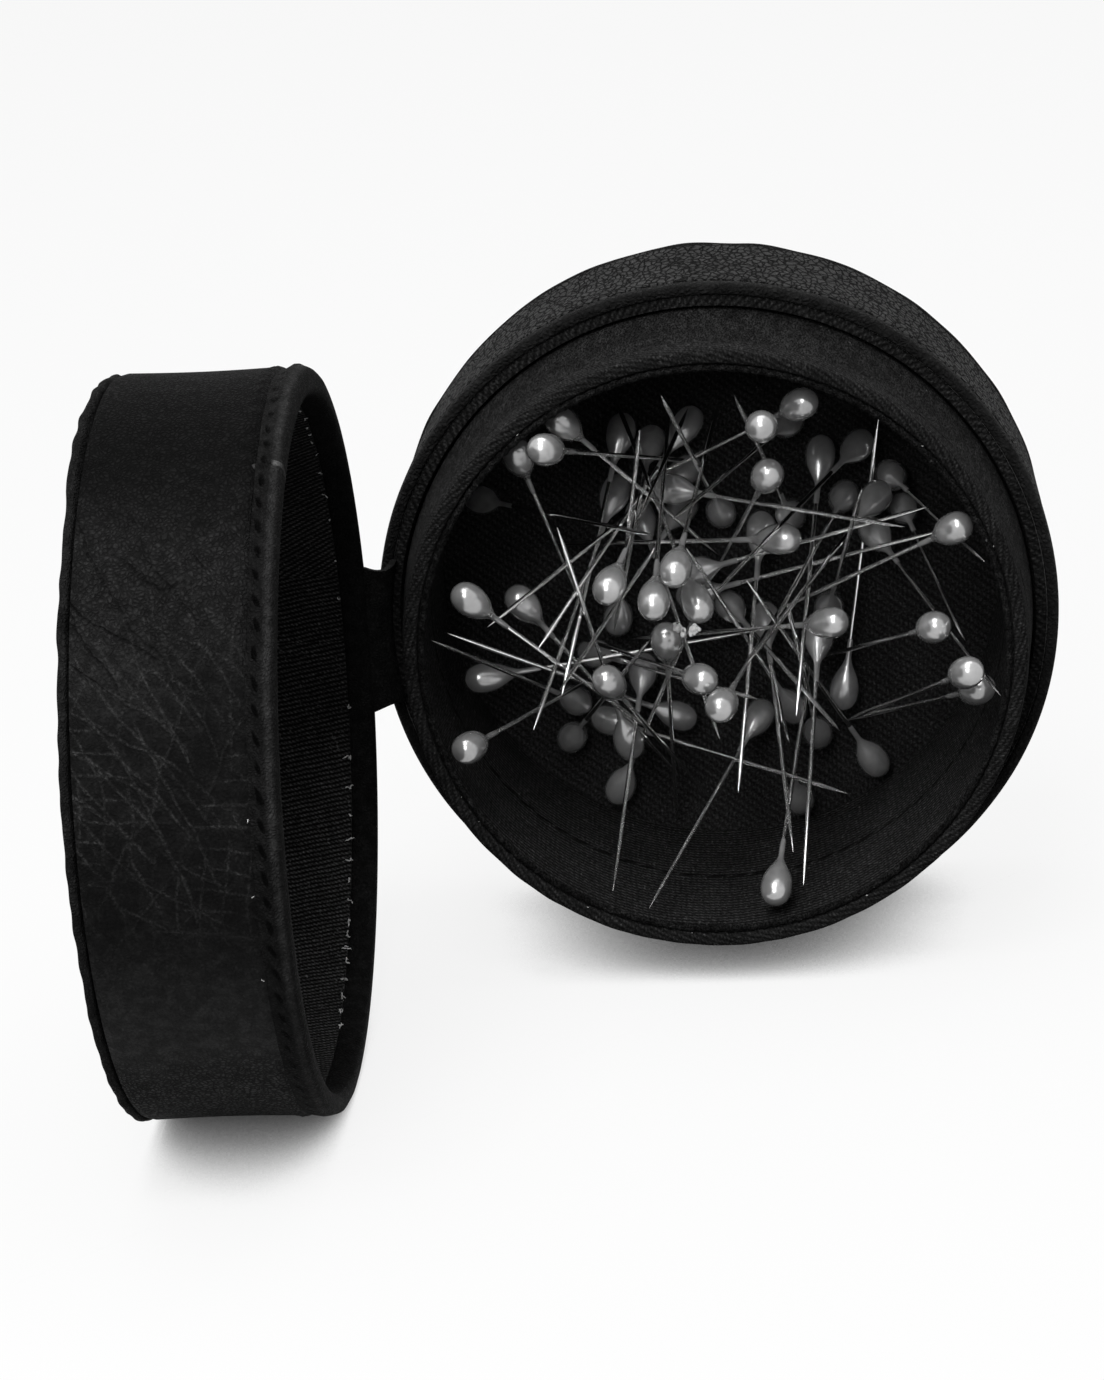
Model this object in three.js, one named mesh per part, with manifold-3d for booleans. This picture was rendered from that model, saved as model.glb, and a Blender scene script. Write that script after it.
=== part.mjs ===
// Magnetic needle case: two round leather drums joined by a leather strap, shown open and
// standing on their edges, with pearl headed pins held by a magnet under the floor of the base.
//
// Millimetres, +Z up. The base's axis runs along Y, its mouth faces -Y and its end is at +Y.
// The drums are drawn from the plane where their rims meet when the case is shut, Y = 0. The
// hinge line is upright, just outside the wall at -X. The lid is drawn shut and its group is
// then turned open. Last, the whole moves so that its origin is the middle of its footprint.

import * as THREE from "three";
import { mergeVertices } from "three/addons/utils/BufferGeometryUtils.js";
import Module from "manifold-3d";

const wasm = await Module();
wasm.setup();

// Driving sizes of the drums
const outer_radius = 40;
const base_depth = 24.5;
const lid_depth = 21.6;
const collar_reach = 14.6;
const collar_fit = 0.6;
const collar_taper = 1.3;
const collar_wall = 1.6;

// Sheet stock
const leather = 0.9;
const lid_board = 1.1;
const base_board = 1.7;
const end_board = 0.8;
const collar_board = 0.8;
const lining = 0.4;
const floor_cloth = 0.5;
const twill = 0.4;
const magnet_thickness = 1.3;
const magnet_border = 10;
const glue = 0.1;

// Edges and seams
const rim_gap = 0.15;
const rim_roll = 1.75;
const rim_strip_sink = 0.35;
const turned_edge = 1.4;
const wall_waist = 0.25;
const welt_width = 1.6;
const rim_binding_leg = 6;
const lid_binding_width = 2.9;
const collar_binding_width = 4;
const collar_binding_inside = 3;
const bead_size = 0.9;

// Hinge strap
const strap_width = 17.5;
const strap_thickness = 0.8;
const strap_leaf = 8;
const strap_depth_in_wall = 1.6;
const strap_fit = 0.2;
const hinge_offset = 0.4;
const open_angle = 90;

// Pins
const pin_length = 38;
const pin_radius = 0.3;
const pin_point = 2.5;
const head_length = 6.4;
const head_radius = 2.05;
const neck_radius = 0.5;
const pin_clearance = 0.12;
const pin_sides = 7;

const segments = 48;
const bead_sides = 6;
const facet = Math.cos(Math.PI / segments);
const standing_height = outer_radius * facet;
const hinge_x = -outer_radius - hinge_offset;
const hinge_turn = THREE.MathUtils.degToRad(open_angle);

// Radii that several pieces share, stacked inward from the leather
const leather_inner = outer_radius - leather;
const board_outer = leather_inner - glue;
const base_board_inner = board_outer - base_board;
const lid_board_inner = board_outer - lid_board;
const lid_lining_outer = lid_board_inner - glue;
const lid_lining_inner = lid_lining_outer - lining;
const collar_root_radius = lid_lining_inner - collar_fit;
const collar_front_radius = collar_root_radius - collar_taper;
const mouth_radius = collar_front_radius - collar_wall;
const collar_board_inner = mouth_radius + lining + glue;
const collar_board_outer = collar_board_inner + collar_board;
const sleeve_inner = collar_board_outer + glue;
const bead_inner = mouth_radius - glue - bead_size;
const waist_radius = outer_radius - wall_waist;
const welt_inner = outer_radius - welt_width;
const magnet_radius = outer_radius - magnet_border;

// Planes across the base, stacked forward from its closed end
const end_leather_back = base_depth - glue;
const end_leather_front = end_leather_back - leather;
const end_board_back = end_leather_front - glue;
const end_board_front = end_board_back - end_board;
const magnet_back = end_board_front - glue;
const magnet_front = magnet_back - magnet_thickness;
const floor_back = magnet_front - glue;
const cavity_back = floor_back - floor_cloth;
const wall_board_front = rim_gap + leather + glue;
const collar_front = -collar_reach;
const binding_back = collar_front + collar_binding_width;
const collar_fold_back = collar_front + twill + 2 * glue;

// Planes across the lid, as distances from the rims' meeting plane
const lid_board_front = rim_gap + leather + glue;
const lid_binding_back = rim_gap + lid_binding_width;
const lid_leather_back = lid_depth - glue;
const lid_leather_front = lid_leather_back - leather;
const lid_board_back = lid_leather_front - glue;
const lid_end_board_front = lid_board_back - end_board;
const lid_lining_back = lid_end_board_front - glue;
const lid_lining_front = lid_lining_back - lining;

// Materials, one for each kind of stock
function finish(color, roughness, metalness = 0) {
  return () => new THREE.MeshStandardMaterial({ color, roughness, metalness });
}
const pebbled_leather = finish(0x1c1c1d, 0.5);
const smooth_leather = finish(0x161617, 0.45);
const greyboard = finish(0x6d675c, 0.9);
const twill_cloth = finish(0x121214, 0.85);
const smooth_cloth = finish(0x1a1a1c, 0.7);
const ferrite = finish(0x3a3a3d, 0.6);
const pearl_on_steel = finish(0xd9d6cf, 0.3);

const part = new THREE.Group();
const base = new THREE.Group();
const hinge = new THREE.Group();
const lid = new THREE.Group();
base.position.z = standing_height;
hinge.position.set(hinge_x, 0, standing_height);
hinge.rotation.z = -hinge_turn;
lid.position.x = -hinge_x;
hinge.add(lid);
part.add(base, hinge);

function add(group, name, geometry, material) {
  const mesh = new THREE.Mesh(geometry, material());
  mesh.name = name;
  group.add(mesh);
  return mesh;
}

// One closed surface with shared corners and no empty triangles
function welded(geometry) {
  const bare = geometry.clone();
  bare.deleteAttribute("normal");
  bare.deleteAttribute("uv");
  const merged = mergeVertices(bare, 1e-4);
  const corners = merged.index.array;
  const kept = [];
  for (let i = 0; i < corners.length; i += 3) {
    const [a, b, c] = corners.slice(i, i + 3);
    if (a !== b && b !== c && c !== a) kept.push(a, b, c);
  }
  merged.setIndex(kept);
  merged.computeVertexNormals();
  return merged;
}

// A closed solid of revolution about Y. Its corners are [radius, y], in order either way round,
// and a solid that reaches the axis has its first and last corners there.
function turned(corners, sides = segments) {
  const area = corners.reduce((sum, [r, y], i) => {
    const [next_r, next_y] = corners[(i + 1) % corners.length];
    return sum + r * next_y - next_r * y;
  }, 0);
  const outline = area > 0 ? [...corners] : [...corners].reverse();
  if (outline[0][0] > 0) outline.push(outline[0]);
  const points = outline.map(([r, y]) => new THREE.Vector2(r, y));
  const geometry = new THREE.LatheGeometry(points, sides);
  geometry.rotateY(Math.PI / sides);
  return welded(geometry);
}

function ring(inner, outer, y0, y1) {
  return turned([[inner, y0], [outer, y0], [outer, y1], [inner, y1]]);
}

function disc(radius, y0, y1) {
  return turned([[0, y0], [radius, y0], [radius, y1], [0, y1]]);
}

// The lid's pieces are drawn shut, with their depth running along -Y
function facing_back(corners) {
  return corners.map(([r, depth]) => [r, -depth]);
}

function solid(geometry) {
  return new wasm.Manifold(new wasm.Mesh({
    numProp: 3,
    vertProperties: new Float32Array(geometry.getAttribute("position").array),
    triVerts: new Uint32Array(geometry.index.array),
  }));
}

function cut(geometry, tool) {
  const { vertProperties, triVerts } = solid(geometry).subtract(solid(tool)).getMesh();
  const left = new THREE.BufferGeometry();
  left.setAttribute("position", new THREE.BufferAttribute(vertProperties, 3));
  left.setIndex(new THREE.BufferAttribute(triVerts, 1));
  left.computeVertexNormals();
  return left;
}

// The hinge strap: a leaf in each wall, joined by a web that bends round the hinge line.
// It is drawn about the hinge line, with the base's leaf along +Y and the lid's along -X,
// and it is curved across its width as the walls are.
function strap(width, thickness, leaf) {
  const rows = 8;
  const bends = 6;
  const wall_radius = outer_radius - strap_depth_in_wall;

  function run(distance) {
    const stations = [[distance, leaf]];
    for (let k = 0; k <= bends; k++) {
      const turn = (k / bends) * hinge_turn;
      stations.push([distance * Math.cos(turn), -distance * Math.sin(turn)]);
    }
    const [x, y] = stations[stations.length - 1];
    stations.push([x - leaf * Math.sin(hinge_turn), y - leaf * Math.cos(hinge_turn)]);
    return stations;
  }

  const positions = [];
  for (const side of [-0.5, 0.5]) {
    const radius = wall_radius - side * thickness;
    for (let i = 0; i <= rows; i++) {
      const z = (i / rows - 0.5) * width;
      const sag = radius - Math.sqrt(radius * radius - z * z);
      const distance = outer_radius + hinge_offset - radius + sag;
      run(distance).forEach(([x, y]) => positions.push(x, y, z));
    }
  }

  const columns = bends + 3;
  const last = columns - 1;
  const at = (side, row, column) => (side * (rows + 1) + row) * columns + column;
  const index = [];
  const quad = (a, b, c, d) => index.push(a, b, c, a, c, d);
  for (let i = 0; i < rows; i++) {
    for (let j = 0; j < last; j++) {
      quad(at(0, i, j), at(0, i, j + 1), at(0, i + 1, j + 1), at(0, i + 1, j));
      quad(at(1, i, j), at(1, i + 1, j), at(1, i + 1, j + 1), at(1, i, j + 1));
    }
    quad(at(0, i, 0), at(0, i + 1, 0), at(1, i + 1, 0), at(1, i, 0));
    quad(at(0, i, last), at(1, i, last), at(1, i + 1, last), at(0, i + 1, last));
  }
  for (let j = 0; j < last; j++) {
    quad(at(0, 0, j), at(1, 0, j), at(1, 0, j + 1), at(0, 0, j + 1));
    quad(at(0, rows, j), at(0, rows, j + 1), at(1, rows, j + 1), at(1, rows, j));
  }
  const geometry = new THREE.BufferGeometry();
  geometry.setAttribute("position", new THREE.Float32BufferAttribute(positions, 3));
  geometry.setIndex(index);
  geometry.computeVertexNormals();
  return geometry;
}

const strap_slot = strap(
  strap_width + 2 * strap_fit,
  strap_thickness + 2 * strap_fit,
  strap_leaf + strap_fit,
);
const base_slot = strap_slot.clone().translate(hinge_x, 0, 0);
const lid_slot = strap_slot.clone().rotateZ(hinge_turn).translate(hinge_x, 0, 0);

// The raised seam round a closed end, from the wall leather's edge to the end face
function welt(front, back) {
  const soft = 2 * glue;
  return [
    [welt_inner, front],
    [waist_radius, front],
    [outer_radius - glue, front + soft],
    [outer_radius, (front + back) / 2],
    [outer_radius - soft, back - soft],
    [outer_radius - welt_width / 2, back],
    [welt_inner, back - soft],
  ];
}

// Base: the wall, from the outside inward
const edge = outer_radius - turned_edge;
add(base, "base_wall_leather", cut(turned([
  [leather_inner, end_board_back],
  [leather_inner, rim_gap + leather],
  [edge, rim_gap + leather - glue],
  [edge - glue, rim_gap + leather / 2],
  [edge + 2 * glue, rim_gap],
  [leather_inner + leather / 2, rim_gap + rim_roll / 8],
  [outer_radius - glue, rim_gap + rim_roll / 2],
  [outer_radius, rim_gap + rim_roll],
  [waist_radius, end_board_back],
]), base_slot), pebbled_leather);

add(base, "base_wall_board", cut(
  ring(base_board_inner, board_outer, wall_board_front, floor_back),
  base_slot,
), greyboard);

const strip_front = rim_gap + rim_strip_sink;
const strip_back = wall_board_front - glue;
add(base, "base_rim_binding", cut(turned([
  [collar_root_radius + glue, strip_front],
  [edge - 2 * glue, strip_front],
  [edge - 2 * glue, strip_back],
  [base_board_inner - glue, strip_back],
  [base_board_inner - glue, strip_front + rim_binding_leg],
  [collar_root_radius + glue, strip_front + rim_binding_leg],
]), base_slot), twill_cloth);

// Base: the closed end, and the magnet under the floor
add(base, "base_end_welt", turned(welt(end_leather_front, base_depth)), smooth_leather);
add(base, "base_end_leather", disc(
  welt_inner - glue, end_leather_front, end_leather_back,
), pebbled_leather);
add(base, "base_end_board", disc(board_outer, end_board_front, end_board_back), greyboard);
add(base, "magnet_disc", disc(magnet_radius, magnet_front, magnet_back), ferrite);
add(base, "magnet_spacer", ring(
  magnet_radius + glue, board_outer, magnet_front, magnet_back,
), greyboard);
add(base, "base_floor_lining", disc(
  collar_board_inner - glue, cavity_back, floor_back,
), twill_cloth);

// Collar: the inner tube that the lid slides over
function collar_outside(y) {
  const share = THREE.MathUtils.clamp((rim_gap - y) / (rim_gap - collar_front), 0, 1);
  return collar_root_radius - share * collar_taper;
}

add(base, "collar_board", ring(
  collar_board_inner, collar_board_outer, collar_fold_back + glue, floor_back,
), greyboard);

add(base, "collar_sleeve", turned([
  [sleeve_inner, floor_back],
  [sleeve_inner, binding_back + glue],
  [collar_outside(binding_back), binding_back + glue],
  [collar_root_radius, rim_gap],
  [collar_root_radius, floor_back],
]), smooth_cloth);

const fold = twill / 2;
const inside_back = collar_front + collar_binding_inside;
add(base, "collar_binding", turned([
  [sleeve_inner, binding_back],
  [collar_outside(binding_back), binding_back],
  [collar_front_radius, collar_front + 2 * fold],
  [collar_front_radius - fold, collar_front],
  [mouth_radius + fold, collar_front],
  [mouth_radius, collar_front + fold],
  [mouth_radius, inside_back],
  [mouth_radius + lining, inside_back],
  [mouth_radius + lining, collar_fold_back],
  [sleeve_inner, collar_fold_back],
]), twill_cloth);

const bead_radius = bead_size / 2;
const bead_corners = Array.from({ length: bead_sides }, (_, k) => {
  const turn = (k / bead_sides) * 2 * Math.PI;
  return [
    bead_inner + bead_radius + bead_radius * Math.cos(turn),
    collar_front + fold + bead_radius + bead_radius * Math.sin(turn),
  ];
});
add(base, "collar_bead", turned(bead_corners), smooth_cloth);

add(base, "base_wall_lining", ring(
  mouth_radius, mouth_radius + lining, inside_back + glue, cavity_back - glue,
), twill_cloth);

// Lid: the wall and its bound rim
add(lid, "lid_wall_leather", turned(facing_back([
  [leather_inner, lid_binding_back + glue],
  [waist_radius, lid_binding_back + glue],
  [waist_radius, lid_board_back],
  [leather_inner, lid_board_back],
])), pebbled_leather);

add(lid, "lid_wall_board", cut(turned(facing_back([
  [lid_board_inner, lid_board_front],
  [board_outer, lid_board_front],
  [board_outer, lid_lining_back],
  [lid_board_inner, lid_lining_back],
])), lid_slot), greyboard);

add(lid, "lid_rim_binding", cut(turned(facing_back([
  [leather_inner, lid_binding_back],
  [outer_radius - glue, lid_binding_back],
  [outer_radius, lid_binding_back - 2 * glue],
  [outer_radius, rim_gap + leather],
  [outer_radius - leather / 4, rim_gap + leather / 4],
  [leather_inner, rim_gap],
  [lid_lining_outer + leather / 4, rim_gap],
  [lid_lining_inner, rim_gap + leather / 2],
  [lid_lining_inner, lid_binding_back],
  [lid_lining_outer, lid_binding_back],
  [lid_lining_outer, lid_board_front - glue],
  [leather_inner, lid_board_front - glue],
])), lid_slot), smooth_leather);

add(lid, "lid_wall_lining", turned(facing_back([
  [lid_lining_inner, lid_binding_back + glue],
  [lid_lining_outer, lid_binding_back + glue],
  [lid_lining_outer, lid_lining_front - glue],
  [lid_lining_inner, lid_lining_front - glue],
])), twill_cloth);

// Lid: the closed end
add(lid, "lid_end_welt", turned(facing_back(welt(lid_leather_front, lid_depth))), smooth_leather);
add(lid, "lid_end_leather", disc(
  welt_inner - glue, -lid_leather_back, -lid_leather_front,
), pebbled_leather);
add(lid, "lid_end_board", disc(board_outer, -lid_board_back, -lid_end_board_front), greyboard);
add(lid, "lid_end_lining", disc(
  lid_lining_outer, -lid_lining_back, -lid_lining_front,
), twill_cloth);

const strap_mesh = add(
  part, "hinge_strap", strap(strap_width, strap_thickness, strap_leaf), smooth_leather,
);
strap_mesh.position.set(hinge_x, 0, standing_height);

// Pins. Each has one end low in the pile and the other leaning out towards the mouth.
// A row tells where the pin is seen in the mouth, for someone looking in from seen_from:
// the head across and up from the middle, the point across and up, and which end lies deeper.
// All these are counted in steps, of which 33.9 make the mouth's radius.
const steps_in_radius = 33.9;
const step = mouth_radius / steps_in_radius;
const seen_from = new THREE.Vector3(15, -425, 130).multiplyScalar(step);
const pin_rows = [
  [13, 23.5, 9, -7.5, "head"],
  [-9, 27, -17.5, -4, "head"],
  [-10, 20, -21, -8, "head"],
  [-1.5, 27.5, -20, 1.5, "head"],
  [-11.5, 8.5, -1.5, 29, "point"],
  [-2, 22, -25.5, 4.5, "head"],
  [20.5, 20.5, 32.5, 10.5, "head"],
  [-26.5, 20, -6, 14.5, "head"],
  [14.5, -5, 19.5, 27, "head"],
  [-11.5, -15.5, -0.5, 8, "head"],
  [19, -15, 4, 9, "head"],
  [18.5, 14, 33, -6, "head"],
  [-12.5, -7, 14.5, -17, "head"],
  [-21.5, 7.5, -5, -13.5, "point"],
  [-27.5, 8, -7.5, -8.5, "point"],
  [-4, -7, -30, 4, "head"],
  [-8, -1, -13, -28, "head"],
  [6, 15, 2, -16.5, "head"],
  [28.5, -3, 15, -8, "point"],
  [25, 2.5, 12, -0.5, "point"],
  [-19, 27, -1.5, 23, "point"],
  [-22, 26.5, -13.5, 3.5, "point"],
  [29.5, 15.5, 8, 5.5, "point"],
  [7, 21, 0, 9, "point"],
  [8.5, 13.5, -19, 14, "point"],
  [-6.5, 6.5, -3.5, 29.5, "point"],
  [-1.5, 6, -10, 32, "point"],
  [-2, 10, 24.5, 16.5, "head"],
  [-26.5, -1.5, 5.5, 3, "point"],
  [6, 4.5, 8, -24, "head"],
  [12, 2.5, 9, -28, "head"],
  [13.5, 3.5, -10, 2.5, "point"],
  [5, -7, -9, -30.5, "head"],
  [6, -29, 11, -0.5, "point"],
  [-29, -10, -13, -1.5, "point"],
  [0.5, -6, 8.5, 6.5, "point"],
  [6.5, 26.5, 5.5, 25, "point"],
];

const bulb = pin_length - head_radius;
const shaft_end = pin_length - head_length;

function pin_shape() {
  const at = (share) => shaft_end + share * head_length;
  return turned([
    [0, 0],
    [pin_radius, pin_point],
    [pin_radius, shaft_end - neck_radius],
    [neck_radius, shaft_end],
    [0.45 * head_radius, at(0.17)],
    [0.86 * head_radius, at(0.42)],
    [head_radius, at(0.66)],
    [0.86 * head_radius, at(0.86)],
    [0.45 * head_radius, at(0.97)],
    [0, pin_length],
  ], pin_sides);
}

// Round-ended rods that hold a pin: its shaft, the head's taper and the head's bulb
function rods({ head, point }) {
  const along = new THREE.Vector3().subVectors(head, point).normalize();
  const at = (distance) => point.clone().addScaledVector(along, distance);
  const taper_end = shaft_end + 0.32 * head_length;
  const bulb_start = shaft_end + 0.55 * head_length;
  return [
    { from: at(0), to: at(shaft_end), radius: pin_radius },
    { from: at(shaft_end), to: at(taper_end), radius: 0.6 * head_radius },
    { from: at(bulb_start), to: at(bulb), radius: head_radius },
  ];
}

// Shortest distance between the middle lines of two rods
function between(a, b) {
  const u = new THREE.Vector3().subVectors(a.to, a.from);
  const v = new THREE.Vector3().subVectors(b.to, b.from);
  const w = new THREE.Vector3().subVectors(a.from, b.from);
  const uu = u.dot(u);
  const vv = v.dot(v);
  const uv = u.dot(v);
  const spread = uu * vv - uv * uv;
  const on_rod = (value) => THREE.MathUtils.clamp(value, 0, 1);
  const even = 1e-9;
  let s = spread > even ? on_rod((uv * v.dot(w) - u.dot(w) * vv) / spread) : 0;
  let t = (uv * s + v.dot(w)) / vv;
  if (t < 0 || t > 1) {
    t = on_rod(t);
    s = on_rod((uv * t - u.dot(w)) / uu);
  }
  const from_a = a.from.clone().addScaledVector(u, s);
  return from_a.distanceTo(b.from.clone().addScaledVector(v, t));
}

function clear_of(rods_of_pin, laid) {
  return laid.every((others) => rods_of_pin.every((a) => others.every(
    (b) => between(a, b) - a.radius - b.radius >= pin_clearance,
  )));
}

// The line of sight through a place in the mouth
function sight(across, up) {
  const seen = new THREE.Vector3(across * step, collar_front, up * step);
  return seen.sub(seen_from).normalize();
}

// Keeps an end inside the cavity's lining
function held_in(end, radius) {
  const place = new THREE.Vector2(end.x, end.z);
  place.clampLength(0, bead_inner * facet - radius - pin_clearance);
  return new THREE.Vector3(place.x, end.y, place.y);
}

// A pin whose lower end rests at a height above the floor: that end is where its line of sight
// comes down to that height, and the other is where its own line comes within a pin's length.
// A pin that lies flat still has its thick end on the floor and not in it.
function leaning(low_sight, high_sight, low_radius, high_radius, height) {
  const least_rise = Math.max(0, high_radius - low_radius);
  const longest_run = Math.sqrt(bulb * bulb - least_rise * least_rise);
  const low_y = cavity_back - pin_clearance - low_radius - height;
  const reach = (low_y - seen_from.y) / low_sight.y;
  const low = held_in(seen_from.clone().addScaledVector(low_sight, reach), low_radius);

  const nearest = low.clone().sub(seen_from).dot(high_sight);
  const off_line = seen_from.clone().addScaledVector(high_sight, nearest).distanceTo(low);
  const back = Math.sqrt(Math.max(0, bulb * bulb - off_line * off_line));
  const seen = seen_from.clone().addScaledVector(high_sight, nearest - back);
  const high = held_in(seen, high_radius);
  const run = new THREE.Vector2(high.x - low.x, high.z - low.z).clampLength(0, longest_run);
  const rise = Math.sqrt(bulb * bulb - run.lengthSq());
  return [low, new THREE.Vector3(low.x + run.x, low.y - rise, low.z + run.y)];
}

const laid = [];
const pin_geometry = pin_shape();
pin_rows.forEach(([head_across, head_up, point_across, point_up, deeper], i) => {
  const head_sight = sight(head_across, head_up);
  const point_sight = sight(point_across, point_up);
  const lies_at = (height) => {
    if (deeper === "head") {
      const [head, point] = leaning(head_sight, point_sight, head_radius, pin_radius, height);
      return { head, point };
    }
    const [point, head] = leaning(point_sight, head_sight, pin_radius, head_radius, height);
    return { head, point };
  };

  // a pin that would pass through those below it is lifted until it lies on them
  const lift = (2 / 3) * pin_radius;
  let height = 0;
  while (!clear_of(rods(lies_at(height)), laid)) height += lift;
  const { head, point } = lies_at(height);
  laid.push(rods({ head, point }));

  const name = `pin_${String(i + 1).padStart(2, "0")}`;
  const pin = add(base, name, pin_geometry, pearl_on_steel);
  const along = new THREE.Vector3().subVectors(head, point).normalize();
  pin.position.copy(point);
  pin.quaternion.setFromUnitVectors(new THREE.Vector3(0, 1, 0), along);
});

// The origin is the middle of the part's box, on the surface that both drums stand on
const bounds = new THREE.Box3().setFromObject(part, true);
const middle = bounds.getCenter(new THREE.Vector3());
part.position.set(-middle.x, -middle.y, -bounds.min.z);

export default part;
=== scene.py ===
"""The looks of the needle case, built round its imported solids. Metres, +Z up, in the part's frame."""

import math
from collections import namedtuple

import bpy
import numpy as np
from mathutils import Matrix, Vector, noise


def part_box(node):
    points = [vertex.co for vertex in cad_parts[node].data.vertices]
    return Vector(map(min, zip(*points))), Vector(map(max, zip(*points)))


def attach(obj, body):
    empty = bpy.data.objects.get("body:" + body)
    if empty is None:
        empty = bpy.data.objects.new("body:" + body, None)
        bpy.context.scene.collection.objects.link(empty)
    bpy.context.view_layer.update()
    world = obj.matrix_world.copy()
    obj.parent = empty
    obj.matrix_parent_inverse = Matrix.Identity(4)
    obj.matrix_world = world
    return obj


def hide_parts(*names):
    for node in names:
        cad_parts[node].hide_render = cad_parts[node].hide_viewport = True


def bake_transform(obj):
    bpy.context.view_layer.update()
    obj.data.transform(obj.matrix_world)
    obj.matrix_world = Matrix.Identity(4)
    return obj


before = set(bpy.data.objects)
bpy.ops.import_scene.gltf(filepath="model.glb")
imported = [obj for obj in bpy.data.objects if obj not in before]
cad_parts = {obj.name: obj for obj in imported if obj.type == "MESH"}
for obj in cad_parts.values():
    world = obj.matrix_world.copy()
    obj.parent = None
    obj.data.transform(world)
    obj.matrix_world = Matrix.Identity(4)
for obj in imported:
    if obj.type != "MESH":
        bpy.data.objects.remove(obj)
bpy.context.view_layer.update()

MM = 0.001
WIDE, TALL = 1104, 1380

# The camera, as it was fitted to the photograph's outlines
EYE = Vector((25.606, -397.515, 169.464)) * MM
YAW, PITCH, ROLL = -0.0805, 0.3117, -0.0625
FOCAL = 3807.25
SENSOR = 36


def camera_axes():
    """The camera's right, up and forward directions."""
    ahead = Vector((
        math.sin(YAW) * math.cos(PITCH),
        math.cos(YAW) * math.cos(PITCH),
        -math.sin(PITCH),
    ))
    level = Vector((math.cos(YAW), -math.sin(YAW), 0))
    upright = level.cross(ahead)
    right = level * math.cos(ROLL) + upright * math.sin(ROLL)
    up = upright * math.cos(ROLL) - level * math.sin(ROLL)
    return right, up, ahead


RIGHT, UP, AHEAD = camera_axes()


def sight(x, y):
    """The direction in which the camera sees a pixel of the photograph."""
    return (AHEAD + RIGHT * ((x - WIDE / 2) / FOCAL) + UP * ((TALL / 2 - y) / FOCAL)).normalized()


def make_camera():
    data = bpy.data.cameras.new("camera")
    camera = bpy.data.objects.new("camera", data)
    bpy.context.scene.collection.objects.link(camera)
    turn = Matrix((RIGHT, UP, -AHEAD)).transposed().to_4x4()
    camera.matrix_world = Matrix.Translation(EYE) @ turn
    data.sensor_width = SENSOR
    data.lens = FOCAL * SENSOR / TALL
    data.clip_start, data.clip_end = 0.01, 20
    bpy.context.scene.camera = camera


make_camera()


# Sizes that the fine pieces share with the part, in millimetres
OUTER = 40
WAIST = 39.75
LEATHER_IN = 39.1
SEGMENTS = 48
FACET = math.cos(math.pi / SEGMENTS)
COLLAR_ROOT = 36.8
COLLAR_FRONT = 35.5
MOUTH = 33.9
REACH = -14.6
BINDING_BACK = REACH + 4
FLOOR = 20.6
BASE_END = 24.5
LID_END = 21.6
LID_LINING = 37.4
LID_FLOOR = 19.2
RIM = 0.15
WELT_IN = 38.4
END_RADIUS = 38.6
STITCH_PITCH = 2.8
WALL_SEAM = 16
RIM_SEAM = 0.8
RIM_CREST = 2.0
LAP = math.radians(117)

wall_low, wall_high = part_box("base_wall_leather")
lid_low, lid_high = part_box("lid_rim_binding")
base_middle = (wall_low + wall_high) / 2
lid_middle = (lid_low + lid_high) / 2
BASE = Matrix.Translation((base_middle.x, wall_low.y - RIM * MM, base_middle.z))
LID = (
    Matrix.Translation((lid_high.x + RIM * MM, lid_middle.y, lid_middle.z))
    @ Matrix.Rotation(math.pi / 2, 4, "Z")
)


# Materials

class Nodes:
    """A node tree, built a node at a time."""

    def __init__(self, tree):
        self.tree = tree

    def put(self, socket, value):
        if isinstance(value, bpy.types.NodeSocket):
            self.tree.links.new(value, socket)
        else:
            socket.default_value = value

    def add(self, kind, *values, **settings):
        node = self.tree.nodes.new("ShaderNode" + kind)
        for name, value in settings.items():
            setattr(node, name, value)
        for socket, value in zip(node.inputs, values):
            self.put(socket, value)
        return node

    def math(self, operation, *values):
        return self.add("Math", *values, operation=operation).outputs[0]

    def linear(self, value, slope, start):
        """slope times the value, plus start."""
        return self.math("MULTIPLY_ADD", value, slope, start)

    def times(self, first, *others):
        """The product of all that is given."""
        for other in others:
            first = self.math("MULTIPLY", first, other)
        return first

    def ramp(self, value, low, high, bottom=0.0, top=1.0, curve="SMOOTHSTEP"):
        return self.add("MapRange", value, low, high, bottom, top, interpolation_type=curve).outputs[0]

    def on_rays(self, *kinds):
        """1 for rays of the kinds that are named, and 0 for all others."""
        path = self.add("LightPath")
        found = 0.0
        for kind in kinds:
            found = self.math("MAXIMUM", path.outputs[kind], found)
        return found


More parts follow.
